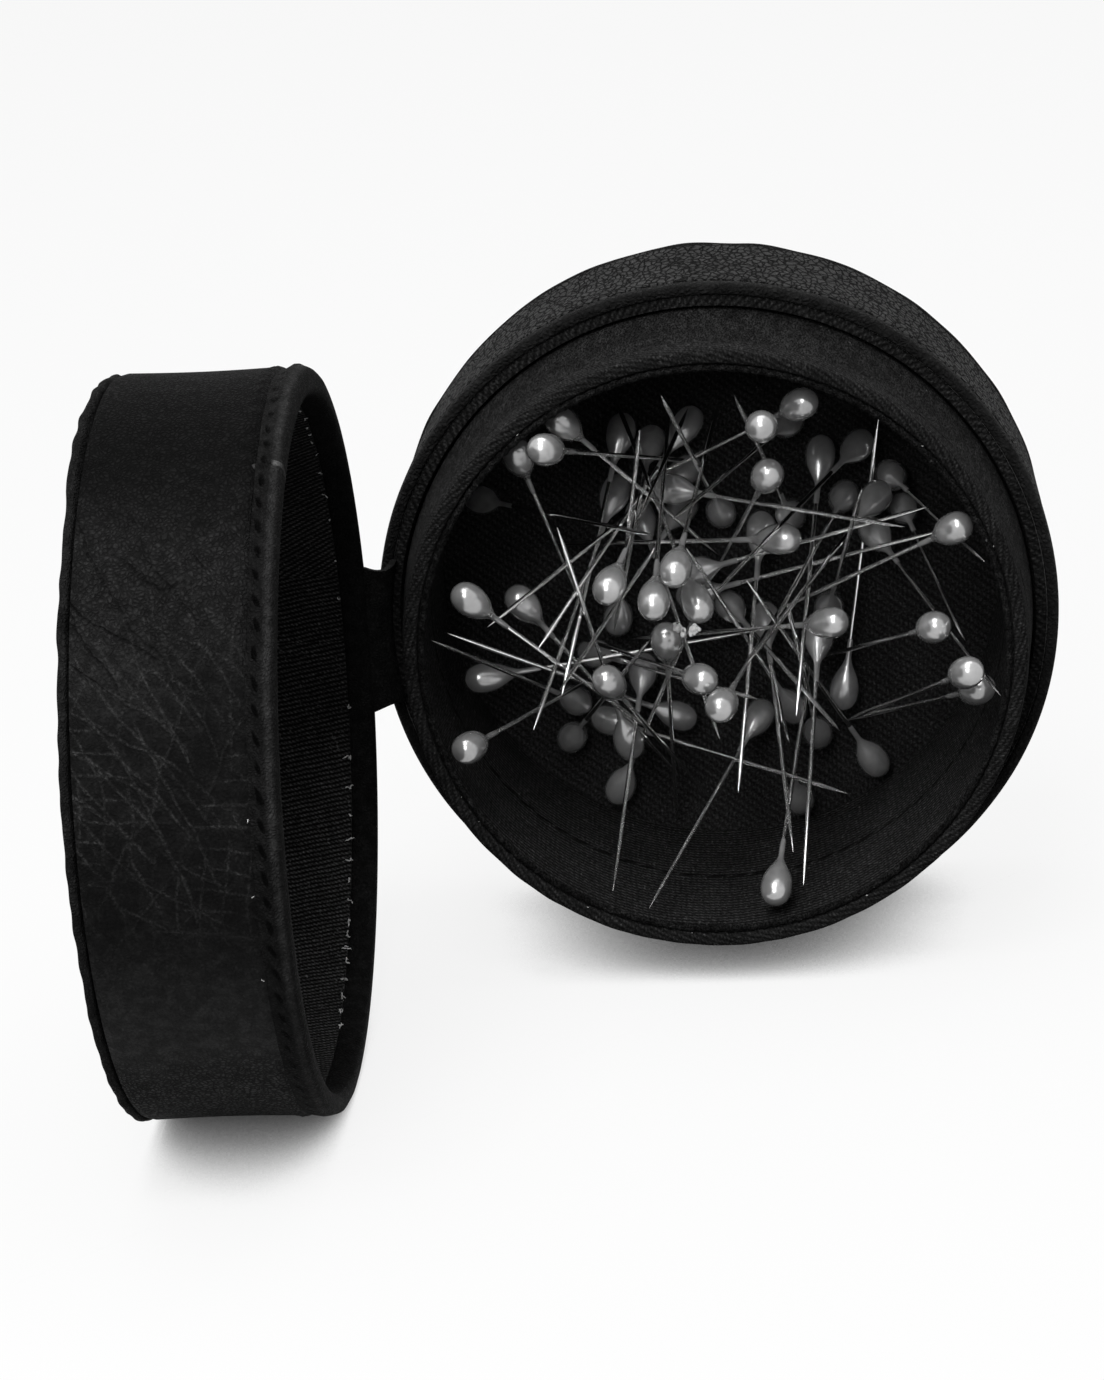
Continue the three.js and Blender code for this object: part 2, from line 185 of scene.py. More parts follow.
class Finish(Nodes):
    """A procedural material."""

    def __init__(self, name):
        self.material = bpy.data.materials.new(name)
        self.material.use_nodes = True
        super().__init__(self.material.node_tree)
        self.shader = self.tree.nodes["Principled BSDF"]
        texture = self.add("TexCoord")
        self.place = texture.outputs["Object"]
        self.uv = texture.outputs["UV"]

    def scaled(self, vector, x, y, z):
        return self.add("VectorMath", vector, (x, y, z), operation="MULTIPLY").outputs[0]

    def noise(self, where, scale, detail=2.0, rough=0.5):
        node = self.add("TexNoise", where)
        node.inputs["Scale"].default_value = scale
        node.inputs["Detail"].default_value = detail
        node.inputs["Roughness"].default_value = rough
        return node.outputs[0]

    def cells(self, where, scale, feature="DISTANCE_TO_EDGE"):
        node = self.add("TexVoronoi", where, feature=feature)
        node.inputs["Scale"].default_value = scale
        return node.outputs["Distance"]

    def split(self, vector):
        return self.add("SeparateXYZ", vector).outputs

    def bump(self, height, distance):
        node = self.add("Bump")
        node.inputs["Strength"].default_value = 1.0
        node.inputs["Distance"].default_value = distance
        self.put(node.inputs["Height"], height)
        self.put(self.shader.inputs["Normal"], node.outputs[0])

    def set(self, **values):
        for name, value in values.items():
            self.put(self.shader.inputs[name.replace("_", " ")], value)
        return self.material


def grey(value):
    return (value, value, value, 1)


def warped(f, scale, amount):
    """Object coordinates pushed about a little, so that lines of a pattern wander."""
    node = f.add("TexNoise", f.place)
    node.inputs["Scale"].default_value = scale
    shifted = f.add("VectorMath", node.outputs["Color"], (0.5, 0.5, 0.5), operation="SUBTRACT")
    push = f.add("VectorMath", shifted.outputs[0], (amount,) * 3, operation="MULTIPLY")
    return f.add("VectorMath", f.place, push.outputs[0], operation="ADD").outputs[0]


def height_band(f, low, high, soft=0.008):
    """1 between two heights above the floor, in metres, and 0 away from them."""
    z = f.math("ADD", f.split(f.place)[2], f.linear(f.noise(f.place, 60, 2), 0.016, -0.008))
    return f.times(f.ramp(z, low - soft, low + soft), f.ramp(z, high - soft, high + soft, 1.0, 0.0))


# The lid's creases: their direction on the hide, the space between them in metres, a seed for
# their wander, how much of them is left out, and their strength
Crease = namedtuple("Crease", "along spacing seed bare strength")
CREASE_WIDTH = 0.00027
# Creases along whose ridges a highlight is painted
HIGHLIT_CREASES = [
    Crease((0.82, -0.57), 0.0024, 0.0, 0.41, 1.0),
    Crease((0.9, -0.35), 0.0031, 2.3, 0.41, 1.0),
    Crease((0.55, -0.8), 0.0036, 4.4, 0.46, 1.0),
    Crease((0.1, -1.0), 0.0023, 3.1, 0.41, 0.8),
    Crease((1.0, 0.06), 0.0026, 5.7, 0.45, 0.8),
    Crease((0.8, 0.5), 0.0048, 9.2, 0.41, 0.6),
]
# Creases with painted shade in their grooves
SHADED_CREASES = [
    Crease((0.8, -0.6), 0.0052, 7.9, 0.41, 1.0),
    Crease((0.5, -1.0), 0.0066, 8.8, 0.41, 1.0),
]


def crease_lines(f, crease):
    """Thin, nearly straight lines that run along a direction of the UV, broken up by patches."""
    u, v, _ = f.split(f.uv)
    length = math.hypot(*crease.along)
    across = f.times(u, -crease.along[1] / length)
    across = f.linear(v, crease.along[0] / length, across)
    shifted = f.add("VectorMath", f.place, (crease.seed, 0, 0), operation="ADD").outputs[0]
    drift = f.linear(f.noise(shifted, 260, 2), 0.12, f.noise(shifted, 38, 2))
    step = f.math("DIVIDE", f.linear(drift, 2.4 * crease.spacing, across), crease.spacing)
    away = f.math("ABSOLUTE", f.math("SUBTRACT", f.math("FRACT", step), 0.5))
    line = f.ramp(away, 0.0, CREASE_WIDTH / crease.spacing, 1.0, 0.0)
    patch = f.ramp(f.noise(shifted, 95, 2), crease.bare, crease.bare + 0.16)
    return f.times(line, patch)


def strongest(f, creases):
    """Several sets of creases together, each by its strength."""
    together = 0.0
    for crease in creases:
        together = f.math("MAXIMUM", f.times(crease_lines(f, crease), crease.strength), together)
    return together


def lid_grain(f):
    """How deep the lid's pebbles are: clear at the top, worn in the middle, clear at the foot."""
    foot = height_band(f, 0.002, 0.016, 0.004)
    top = f.ramp(f.split(f.place)[2], 0.055, 0.067)
    return f.linear(foot, 0.7, f.linear(top, 0.5, 0.25))


def lid_creases_and_painted_light(f, pores):
    """Creases across the lid's middle with a painted highlight along them, creases above with painted
    shade in them, and painted light and shade in bands by height.
    """
    z = f.split(f.place)[2]
    upper = height_band(f, 0.06, 0.071, 0.005)
    # A painted highlight along the ridges of the middle band's creases, and painted shade in the upper
    # band's creases
    light = f.times(strongest(f, HIGHLIT_CREASES), height_band(f, 0.037, 0.06), f.linear(pores, 0.9, 0.4))
    dark = f.times(strongest(f, SHADED_CREASES), upper)
    foot = f.ramp(z, 0.008, 0.036, 1.0, 0.0)
    top = f.ramp(z, 0.07, 0.078)
    # Painted light and shade by height: lighter in an upper band and much lighter towards the foot,
    # darker at the top
    painted_light_bands = f.times(f.linear(upper, 0.95, 0.95), f.linear(foot, 4.3, 0.85), f.linear(top, -0.48, 1.0))
    shade = f.times(painted_light_bands, f.linear(light, 3.0, 0.9), f.linear(dark, -0.45, 1.0))
    return f.linear(dark, -1.6, light), shade


def rim_painted_highlights(f, _):
    """A painted highlight along the crest of the rim's fold with painted shade to either side, and a
    painted highlight on the edge where its ends lie over each other.
    """
    around, across, _ = f.split(f.uv)
    from_crest = f.math("ABSOLUTE", f.math("SUBTRACT", across, RIM_CREST * MM))
    from_lap = f.math("ABSOLUTE", f.math("SUBTRACT", around, LAP * OUTER * MM))
    lap = f.times(f.ramp(from_lap, 0.0002, 0.00045, 1.0, 0.0), f.ramp(across, 0.0016, 0.002))
    # Painted highlight on the crest and on the lap's edge, painted shade beside the crest
    return 0.0, f.times(f.ramp(from_crest, 0.0001, 0.0006, 1.5, 0.6), f.linear(lap, 3.0, 1.0))


def stitch_holes(f, line, size):
    """Where the needle went through, as slanted slots along a line across the UV's second way."""
    around, along, _ = f.split(f.uv)
    wander = f.linear(f.noise(f.place, 260, 2), 0.0009, -0.00045)
    offset = f.math("ADD", f.math("SUBTRACT", along, line * MM), wander)
    slanted = f.linear(offset, -1.3, around)
    step = f.linear(slanted, 1 / (STITCH_PITCH * MM), f.noise(f.place, 170, 2))
    nearest = f.math("SUBTRACT", f.math("FRACT", step), 0.5)
    across = f.times(nearest, STITCH_PITCH / (0.62 * size))
    down = f.math("DIVIDE", offset, 0.36 * size * MM)
    away = f.linear(down, down, f.times(across, across))
    return f.ramp(f.linear(f.noise(f.place, 1400, 2), 1.2, away), 2.2, 0.8)


def rim_stitches(f, _):
    """The needle's holes in the lid's rim, and the puckers round them, whose dents get painted shade."""
    hole = stitch_holes(f, RIM_SEAM, 1.0)
    pucker = stitch_holes(f, RIM_SEAM, 2.4)
    # The puckers are darkened here as painted shade in their dents
    shade = f.times(f.linear(pucker, -0.2, 1.0), f.linear(hole, -0.93, 1.0))
    return f.linear(pucker, -1.6, f.times(hole, -2.4)), shade


def leather(name, tone, pebble, full=0.36, drawn=1.0, groove_shade=0.6, relief=0.00016, shine=0.03,
            specks=False, grain=None, marks=()):
    """Dyed hide: pebbles of a given size in metres with painted shade in the grooves between, pores and
    patches.
    grain(f) gives how deep the grooves are. Each of the marks is a function of the finish and its
    pores that gives what to add to the height and what to multiply the shade by."""
    f = Finish(name)
    where = f.scaled(warped(f, 300, 0.0014), 1.0, drawn, 1.0)
    dome = f.ramp(f.cells(where, 1 / pebble), 0.02, full)
    if grain:
        dome = f.math("SUBTRACT", 1.0, f.times(f.math("SUBTRACT", 1.0, dome), grain(f)))
    pores = f.ramp(f.noise(f.place, 3300, 4, 0.65), 0.36, 0.64)
    patch = f.noise(f.place, 90, 3, 0.55)
    mottle = f.ramp(f.noise(f.place, 760, 3, 0.6), 0.38, 0.66)
    height = f.linear(f.noise(f.place, 210, 2), 1.3, f.linear(pores, 0.4, dome))
    # The grooves between the pebbles are darkened here by the groove share: painted shade.
    shade = f.times(
        f.linear(dome, groove_shade, 1.0 - groove_shade), f.linear(pores, 0.5, 0.75), f.linear(mottle, 0.5, 0.7),
        f.linear(patch, 1.0, 0.5), tone,
    )
    for mark in marks:
        rise, factor = mark(f, pores)
        height = f.math("ADD", height, rise)
        shade = f.times(shade, factor)
    if specks:
        spot = f.ramp(f.cells(f.place, 75, "F1"), 0.0, 0.02, 1.0, 0.0)
        shade = f.linear(spot, 0.2, shade)
    f.bump(height, relief)
    gloss = f.linear(pores, 0.1, f.linear(dome, -0.22, 0.76))
    return f.set(Base_Color=shade, Roughness=gloss, Specular_IOR_Level=shine)


def twill(name, tone, pitch, angle, relief=0.00006, rib_shade=0.7, lint=2.4, drawn=1.0, seam=None):
    """Ribbed cloth. The ribs are a pitch apart in metres and lie at an angle in degrees to the UV.
    A seam lies at a place along the UV's second way, in millimetres."""
    f = Finish(name)
    x, y, _ = f.split(f.uv)
    sine, cosine = math.sin(math.radians(angle)), math.cos(math.radians(angle))
    cross = f.linear(y, cosine, f.times(x, -sine))
    along = f.linear(y, sine, f.times(x, cosine))
    wander = f.linear(f.noise(f.place, 420, 2), 0.6 * pitch, cross)
    turn = f.times(wander, 2 * math.pi / pitch)
    rib = f.linear(f.math("SINE", turn), 0.5, 0.5)
    beat = f.linear(along, 2 * math.pi / (pitch * 0.8), turn)
    strand = f.linear(f.math("SINE", beat), 0.5, 0.5)
    weave = f.times(rib, f.linear(strand, 0.7, 0.3))
    where = f.scaled(f.place, 1.0, drawn, 1.0)
    fuzz = f.ramp(f.noise(where, 3400, 4, 0.7), 0.36, 0.64)
    patch = f.noise(f.place, 150, 3)
    f.bump(f.linear(fuzz, 0.5, weave), relief)
    # Painted light and shade on the weave: the ribs' crowns are lighter and the hollows between them
    # darker in the colour, over their real bump
    shade = f.linear(weave, 2.2 * rib_shade, 1.0 - rib_shade)
    shade = f.times(shade, f.linear(fuzz, 1.1, 0.45), f.linear(patch, 0.9 * tone, 0.55 * tone))
    glint = f.ramp(f.noise(where, 2400, 2), 0.62, 0.74)
    shade = f.linear(f.times(glint, fuzz), lint * tone, shade)
    if seam is not None:
        shade = f.times(shade, f.linear(stitch_holes(f, seam, 1.7), -0.85, 1.0))
    return f.set(
        Base_Color=shade, Roughness=0.9, Specular_IOR_Level=0.02, Sheen_Weight=0.006,
        Sheen_Roughness=0.4,
    )


def smooth_cloth(name, tone, drawn=1.0):
    """Cloth whose threads are too fine to see apart, with lint in it."""
    f = Finish(name)
    where = f.scaled(f.place, 1.0, drawn, 1.0)
    fine = f.ramp(f.noise(where, 5200, 3, 0.7), 0.4, 0.6)
    patch = f.noise(f.place, 130, 3)
    coarse = f.ramp(f.noise(where, 1000, 3, 0.6), 0.35, 0.7)
    f.bump(f.linear(coarse, 1.5, fine), 0.0001)
    shade = f.times(
        f.linear(fine, 1.6, 0.2), f.linear(coarse, 0.8, 0.6), f.linear(patch, tone, 0.5 * tone),
    )
    lint = f.ramp(f.noise(where, 2100, 2), 0.7, 0.78)
    return f.set(
        Base_Color=f.linear(lint, 5.0 * tone, shade), Roughness=0.75, Specular_IOR_Level=0.02,
        Sheen_Weight=0.006, Sheen_Roughness=0.35,
    )


def steel():
    f = Finish("pin_steel")
    fine = f.noise(f.place, 2400, 3)
    return f.set(
        Base_Color=f.linear(fine, 0.06, 0.92), Metallic=1.0, Roughness=f.linear(fine, 0.06, 0.12),
    )


def pearl():
    f = Finish("pin_pearl")
    swirl = f.noise(warped(f, 300, 0.004), 420, 3)
    fine = f.noise(f.place, 1500, 2)
    f.bump(fine, 0.000003)
    return f.set(
        Base_Color=f.linear(swirl, 0.36, 0.24), Metallic=0.6, Roughness=f.linear(fine, 0.08, 0.2),
        Coat_Weight=0.6, Coat_Roughness=0.05,
    )


def board():
    f = Finish("greyboard")
    fibre = f.noise(f.scaled(f.place, 1, 1, 4), 1500, 4, 0.6)
    f.bump(fibre, 0.00005)
    return f.set(Base_Color=f.linear(fibre, 0.08, 0.1), Roughness=0.9)


def magnet():
    f = Finish("ferrite")
    grain = f.noise(f.place, 3000, 3)
    f.bump(grain, 0.00002)
    return f.set(Base_Color=f.linear(grain, 0.03, 0.03), Roughness=0.6)


def thread():
    f = Finish("white_thread")
    twist = f.noise(f.place, 9000, 2)
    f.bump(twist, 0.00002)
    return f.set(Base_Color=f.linear(twist, 0.7, 0.42), Roughness=0.8)


wall_hide = leather("wall_hide", 0.043, 0.00078, full=0.19, drawn=0.4, groove_shade=0.94, relief=0.0004)
fold_hide = leather("fold_hide", 0.0125, 0.0006, groove_shade=0.25, relief=0.0002, shine=0.06, specks=True)
lid_hide = leather("lid_hide", 0.0112, 0.0005, full=0.3, groove_shade=0.7, relief=0.00014, specks=True,
                   grain=lid_grain, marks=[lid_creases_and_painted_light])
end_hide = leather("end_hide", 0.02, 0.0008, full=0.2, groove_shade=0.7)
rim_hide = leather("rim_hide", 0.018, 0.0004, groove_shade=0.2, relief=0.0001, marks=[rim_painted_highlights, rim_stitches])
edge_hide = leather("edge_hide", 0.015, 0.0004, groove_shade=0.3, relief=0.00012, specks=True)
floor_twill = twill("floor_twill", 0.018, 0.00085, -38, 0.0001, 0.35, 1.5)
wall_twill = twill("wall_twill", 0.026, 0.00085, 3, 0.0002, 0.8, drawn=0.4, seam=WALL_SEAM)
strip_twill = twill("strip_twill", 0.0145, 0.00075, -50, 0.0001, 0.55)
binding_twill = twill("binding_twill", 0.016, 0.0006, -18, 0.0001, 0.45, drawn=0.3)
lid_twill = twill("lid_twill", 0.042, 0.00056, -60, 0.00008, 0.95)
lid_low_twill = twill("lid_low_twill", 0.038, 0.00056, -80, 0.00008, 0.95)
sleeve_cloth = smooth_cloth("sleeve_cloth", 0.0115, 0.3)
bead_cloth = smooth_cloth("bead_cloth", 0.012)
pin_steel = steel()
pin_pearl = pearl()
greyboard = board()
ferrite = magnet()
white_thread = thread()


# Shapes

def mesh_piece(name, points, faces, uvs, materials, smooth_angle=40):
    """An object made of the given mesh, whose edges sharper than an angle in degrees stay sharp."""
    mesh = bpy.data.meshes.new(name)
    mesh.from_pydata([tuple(p) for p in points], [], faces)
    layer = mesh.uv_layers.new(name="arc")
    layer.data.foreach_set("uv", np.array(uvs, np.float32).ravel())
    for material in materials:
        mesh.materials.append(material)
    mesh.polygons.foreach_set("use_smooth", [True] * len(mesh.polygons))
    mesh.set_sharp_from_angle(angle=math.radians(smooth_angle))
    mesh.update()
    piece = bpy.data.objects.new(name, mesh)
    bpy.context.scene.collection.objects.link(piece)
    return piece


def eased(corners, rounds=2, closed=True):
    """An outline with its corners cut off, again and again, until they look round."""
    for _ in range(rounds):
        out = []
        count = len(corners)
        for i in range(count if closed else count - 1):
            a, b = np.array(corners[i]), np.array(corners[(i + 1) % count])
            out.append(tuple(a + (b - a) * 0.22))
            out.append(tuple(b + (a - b) * 0.22))
        if not closed:
            out = [tuple(corners[0])] + out + [tuple(corners[-1])]
        corners = out
    return corners


def divided(corners, longest):
    """The same closed outline with points added, so that no stretch is longer than a length."""
    out = []
    for start, end in zip(corners, corners[1:] + corners[:1]):
        a, b = np.array(start, float), np.array(end, float)
        steps = max(1, math.ceil(np.linalg.norm(b - a) / longest))
        out.extend(tuple(a + (b - a) * k / steps) for k in range(steps))
    return out


def lathe(name, outline, place, material, columns=256, shift=None, smooth_angle=50):
    """A piece of revolution about the drum's axis. Its closed outline is [radius, depth] in
    millimetres. shift(angle, radius, depth) gives what is added to the radius and the depth."""
    rows = len(outline)
    turns = [2 * math.pi * j / columns for j in range(columns)]
    points = []
    for turn in turns:
        for radius, depth in outline:
            dr, dd = shift(turn, radius, depth) if shift else (0, 0)
            r = (radius * FACET + dr) * MM
            points.append(place @ Vector((r * math.cos(turn), (depth + dd) * MM, r * math.sin(turn))))
    lengths = [0.0]
    for a, b in zip(outline, outline[1:] + outline[:1]):
        lengths.append(lengths[-1] + math.dist(a, b))
    mean = max(r for r, _ in outline)
    faces, uvs = [], []
    for j in range(columns):
        k = (j + 1) % columns
        for i in range(rows):
            n = (i + 1) % rows
            faces.append((j * rows + i, j * rows + n, k * rows + n, k * rows + i))
            u0, u1 = turns[j] * mean * MM, (turns[j] + 2 * math.pi / columns) * mean * MM
            v0, v1 = lengths[i] * MM, lengths[i + 1] * MM
            uvs.extend([(u0, v0), (u0, v1), (u1, v1), (u1, v0)])
    return mesh_piece(name, points, faces, uvs, [material], smooth_angle)


def plate(name, radius, depth, place, material, rings=40, columns=256, shift=None):
    """A round flat sheet across a drum, with its UV laid flat."""
    points = [place @ Vector((0, (depth + (shift(0, 0) if shift else 0)) * MM, 0))]
    flat = [(0.0, 0.0)]
    for i in range(1, rings + 1):
        r = radius * FACET * i / rings
        for j in range(columns):
            turn = 2 * math.pi * j / columns
            x, z = r * math.cos(turn), r * math.sin(turn)
            y = depth + (shift(x, z) if shift else 0)
            points.append(place @ Vector((x * MM, y * MM, z * MM)))
            flat.append((x * MM, z * MM))
    faces = []
    for j in range(columns):
        faces.append((0, 1 + j, 1 + (j + 1) % columns))
    for i in range(rings - 1):
        a, b = 1 + i * columns, 1 + (i + 1) * columns
        for j in range(columns):
            k = (j + 1) % columns
            faces.append((a + j, b + j, b + k, a + k))
    uvs = [flat[v] for face in faces for v in face]
    return mesh_piece(name, points, faces, uvs, [material])


def rides(piece, body, slot, *nodes):
    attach(piece, body)
    if nodes:
        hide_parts(*nodes)


def wobble(seed, size, lumps):
    """Slow unevenness round a drum, between 0 and size."""
    def at(turn):
        p = Vector((math.cos(turn) * lumps, math.sin(turn) * lumps, seed * 7.3))
        return size * (0.5 + 0.5 * max(-1, min(1, 1.6 * noise.noise(p))))
    return at


def top_bump(turn, size, width):
    """A lump at the top of a drum, where the ends of a seam lie over each other."""
    return size * math.exp(-((turn - math.pi / 2) / width) ** 2)


# The base's wall and rim
wall_sag = wobble(3, 0.12, 3)


def wall_shift(turn, radius, depth):
    """The wall's outside sags a little in places."""
    return (-wall_sag(turn), 0) if radius > LEATHER_IN else (0, 0)


FOLD_BACK = 1.9
WALL_BACK = 23.4
wall_outline = (
    [(LEATHER_IN, WALL_BACK), (LEATHER_IN, 1.05)]
    + eased([
        (38.7, 1.0), (38.45, 0.6), (38.6, 0.2), (39.4, 0.12), (39.88, 0.5), (39.95, 1.6),
    ], 3, False)
    + [(39.78, FOLD_BACK), (39.98, FOLD_BACK + 0.3), (39.93, 6), (WAIST, 12), (WAIST, WALL_BACK)]
)
base_wall = lathe("base_wall_hide", divided(wall_outline, 1.5), BASE, wall_hide, shift=wall_shift)
base_wall.data.materials.append(fold_hide)
for face in base_wall.data.polygons:
    if face.center.y < BASE.translation.y + FOLD_BACK * MM:
        face.material_index = 1
rides(base_wall, "base", "pebbled_leather", "base_wall_leather")

strip_outline = eased([
    (36.9, 0.55), (38.4, 0.5), (38.4, 0.95), (37.2, 0.95), (37.2, 6.5), (36.9, 6.5),
], 1)
rides(
    lathe("base_rim_strip", strip_outline, BASE, strip_twill),
    "base", "twill_cloth", "base_rim_binding",
)


def welt_outline(front, back):
    return eased([
        (WELT_IN, front), (WAIST - 0.1, front), (39.85, front + 0.15), (OUTER, (front + back) / 2),
        (39.85, back - 0.15), (39.2, back), (WELT_IN, back - 0.2),
    ], 2)


SHOULDER = math.radians(108)
lid_lumps = wobble(11, 0.55, 9)
lid_waves = wobble(17, 0.4, 14)
base_lumps = wobble(23, 0.3, 7)


def lid_welt_shift(turn, radius, depth):
    """The lid's turned edge is lumpy, with a lap at the top and a shoulder beside it."""
    out = (radius - WELT_IN) / (OUTER - WELT_IN)
    shoulder = 0.55 * math.exp(-((turn - SHOULDER) / 0.25) ** 2)
    lift = 0.12 + 0.12 * math.sin(turn) + top_bump(turn, 0.7, 0.5)
    return (lift - lid_lumps(turn)) * out, (0.5 + shoulder - lid_waves(turn)) * out


def base_welt_shift(turn, radius, depth):
    out = (radius - WELT_IN) / (OUTER - WELT_IN)
    return -base_lumps(turn) * out, 0


rides(
    lathe("base_end_welt_hide", welt_outline(23.5, BASE_END), BASE, edge_hide, 384,
          shift=base_welt_shift),
    "base", "smooth_leather", "base_end_welt",
)


def dished(x, z):
    """The end's leather sinks a little where it meets the welt."""
    return -0.08 * math.exp(-((math.hypot(x, z) - 36.5) / 1.2) ** 2)


rides(
    plate("base_end_hide", END_RADIUS, BASE_END - 0.1, BASE, end_hide, shift=dished),
    "base", "pebbled_leather", "base_end_leather",
)

# The collar
SLEEVE_FRONT = REACH + 3.2
SLEEVE_BACK = 20.9
sleeve_outline = [
    (35.4, SLEEVE_BACK), (35.3, SLEEVE_FRONT), (COLLAR_FRONT + 0.2, SLEEVE_FRONT),
    (COLLAR_ROOT, RIM), (COLLAR_ROOT, SLEEVE_BACK),
]
rides(
    lathe("collar_sleeve_cloth", divided(sleeve_outline, 2), BASE, sleeve_cloth),
    "base", "smooth_cloth", "collar_sleeve",
)

binding_lumps = wobble(31, 0.12, 11)
binding_edge = wobble(37, 0.7, 26)
binding_front = wobble(39, 0.35, 12)


def binding_shift(turn, radius, depth):
    """The cloth's cut edge wanders along the collar, and its fold is a little uneven."""
    if radius > 35 and depth > REACH + 3:
        return 0.06 - binding_lumps(turn), -binding_edge(turn)
    front = max(0, 1 - (depth - REACH) / 1.5)
    return -0.5 * binding_lumps(turn), front * binding_front(turn)


binding_outline = eased([
    (35.3, BINDING_BACK), (COLLAR_FRONT + 0.37, BINDING_BACK), (COLLAR_FRONT, REACH + 0.5),
    (COLLAR_FRONT - 0.25, REACH), (MOUTH + 0.25, REACH), (MOUTH, REACH + 0.3), (MOUTH, REACH + 3),
    (MOUTH + 0.4, REACH + 3), (MOUTH + 0.4, REACH + 0.6), (35.3, REACH + 0.6),
], 2)
rides(
    lathe("collar_binding_twill", divided(binding_outline, 0.8), BASE, binding_twill, 384,
          shift=binding_shift),
    "base", "twill_cloth", "collar_binding",
)

BEAD_TWISTS = 150
BEAD_SIZE = 0.45
BEAD_MIDDLE = (MOUTH - 0.55, REACH + 0.65)
bead_outline = [
    (BEAD_MIDDLE[0] + BEAD_SIZE * math.cos(a), BEAD_MIDDLE[1] + BEAD_SIZE * math.sin(a))
    for a in (2 * math.pi * k / 12 for k in range(12))
]


def bead_shift(turn, radius, depth):
    """Turns the bead into a twisted cord."""
    dr, dd = radius - BEAD_MIDDLE[0], depth - BEAD_MIDDLE[1]
    twist = 0.5 + 0.5 * math.cos(BEAD_TWISTS * turn + math.atan2(dd, dr))
    return -dr * 0.3 * twist, -dd * 0.3 * twist


rides(
    lathe("collar_bead_cord", bead_outline, BASE, bead_cloth, 1200, shift=bead_shift,
          smooth_angle=180),
    "base", "smooth_cloth", "collar_bead",
)


def lining_outline(radius, front, back):
    return [(radius, front), (radius, back), (radius + 0.4, back), (radius + 0.4, front)]


base_lining = lining_outline(MOUTH, REACH + 3.1, FLOOR - 0.1)
rides(
    lathe("base_wall_twill", divided(base_lining, 2), BASE, wall_twill),
    "base", "twill_cloth", "base_wall_lining",
)
rides(
    plate("base_floor_twill", MOUTH + 0.3, FLOOR, BASE, floor_twill),
    "base", "twill_cloth", "base_floor_lining",
)

# The lid
LID_WALL_FRONT, LID_WALL_BACK = 3.1, 20.5
lid_sag = wobble(41, 0.35, 2.5)
lid_ripple = wobble(43, 0.1, 16)


def lid_wall_shift(turn, radius, depth):
    """The wall sags between its ends, and puffs between the stitches of the rim."""
    if radius <= LEATHER_IN:
        return 0, 0
    share = (depth - LID_WALL_FRONT) / (LID_WALL_BACK - LID_WALL_FRONT)
    middle = math.sin(math.pi * min(1, max(0, share)))
    stitches = 0.5 + 0.5 * math.cos(turn * OUTER * 2 * math.pi / STITCH_PITCH)
    puff = 0.16 * stitches * math.exp(-((depth - 4.0) / 0.5) ** 2)
    full = 0.1 + 0.1 * math.sin(turn) + top_bump(turn, 0.75, 0.8)
    return full + puff - (0.6 * lid_sag(turn) + lid_ripple(turn)) * middle, 0


lid_wall_outline = [
    (LEATHER_IN, 3.0), (WAIST - 0.4, 3.0), (WAIST - 0.1, 3.4), (WAIST, 4.0), (WAIST, 19.8),
    (WAIST - 0.2, LID_WALL_BACK), (LEATHER_IN, LID_WALL_BACK),
]
rides(
    lathe("lid_wall_hide", divided(lid_wall_outline, 0.5), LID, lid_hide, 640, shift=lid_wall_shift),
    "lid", "pebbled_leather", "lid_wall_leather",
)

rim_lumps = wobble(53, 0.2, 8)


def rim_shift(turn, radius, depth):
    """The fold is a roll with a crest, pulled in where it is sewn down behind."""
    if radius <= LEATHER_IN:
        return 0, 0
    roll = 0.28 * math.exp(-((depth - 1.6) / 0.45) ** 2) - 0.22 * math.exp(-((depth - 2.9) / 0.5) ** 2)
    lap = 0.4 * math.exp(-((turn - LAP) / 0.011) ** 2)
    lift = 0.05 * math.sin(turn) + top_bump(turn, 0.85, 0.45)
    return lift + lap - rim_lumps(turn) + roll * (0.6 + 0.4 * math.sin(turn)), 0


rim_outline = eased([
    (OUTER - 0.15, 3.4), (OUTER, 2.2), (OUTER, 1.0), (39.75, 0.35), (LEATHER_IN, RIM), (38.0, RIM),
    (LID_LINING, 0.6), (LID_LINING, 3.05), (LID_LINING + 0.4, 3.05), (LID_LINING + 0.4, 1.1),
    (LEATHER_IN, 1.1), (LEATHER_IN, 3.3),
], 2)
rides(
    lathe("lid_rim_hide", divided(rim_outline, 0.4), LID, rim_hide, 960, shift=rim_shift),
    "lid", "smooth_leather", "lid_rim_binding",
)

# The lining's cloth changes its slant at a seam
LID_LINING_SEAM = lid_middle.z + 8 * MM
lid_lining = lathe(
    "lid_wall_twill", divided(lining_outline(LID_LINING, 3.1, LID_FLOOR - 0.1), 2), LID, lid_twill,
)
lid_lining.data.materials.append(lid_low_twill)
for face in lid_lining.data.polygons:
    if face.center.z < LID_LINING_SEAM:
        face.material_index = 1
rides(lid_lining, "lid", "twill_cloth", "lid_wall_lining")
rides(
    plate("lid_end_twill", LID_LINING + 0.3, LID_FLOOR, LID, floor_twill),
    "lid", "twill_cloth", "lid_end_lining",
)
rides(
    lathe("lid_end_welt_hide", welt_outline(20.6, LID_END), LID, edge_hide, 512,
          shift=lid_welt_shift),
    "lid", "smooth_leather", "lid_end_welt",
)
rides(
    plate("lid_end_hide", END_RADIUS, LID_END - 0.1, LID, end_hide, shift=dished),
    "lid", "pebbled_leather", "lid_end_leather",
)


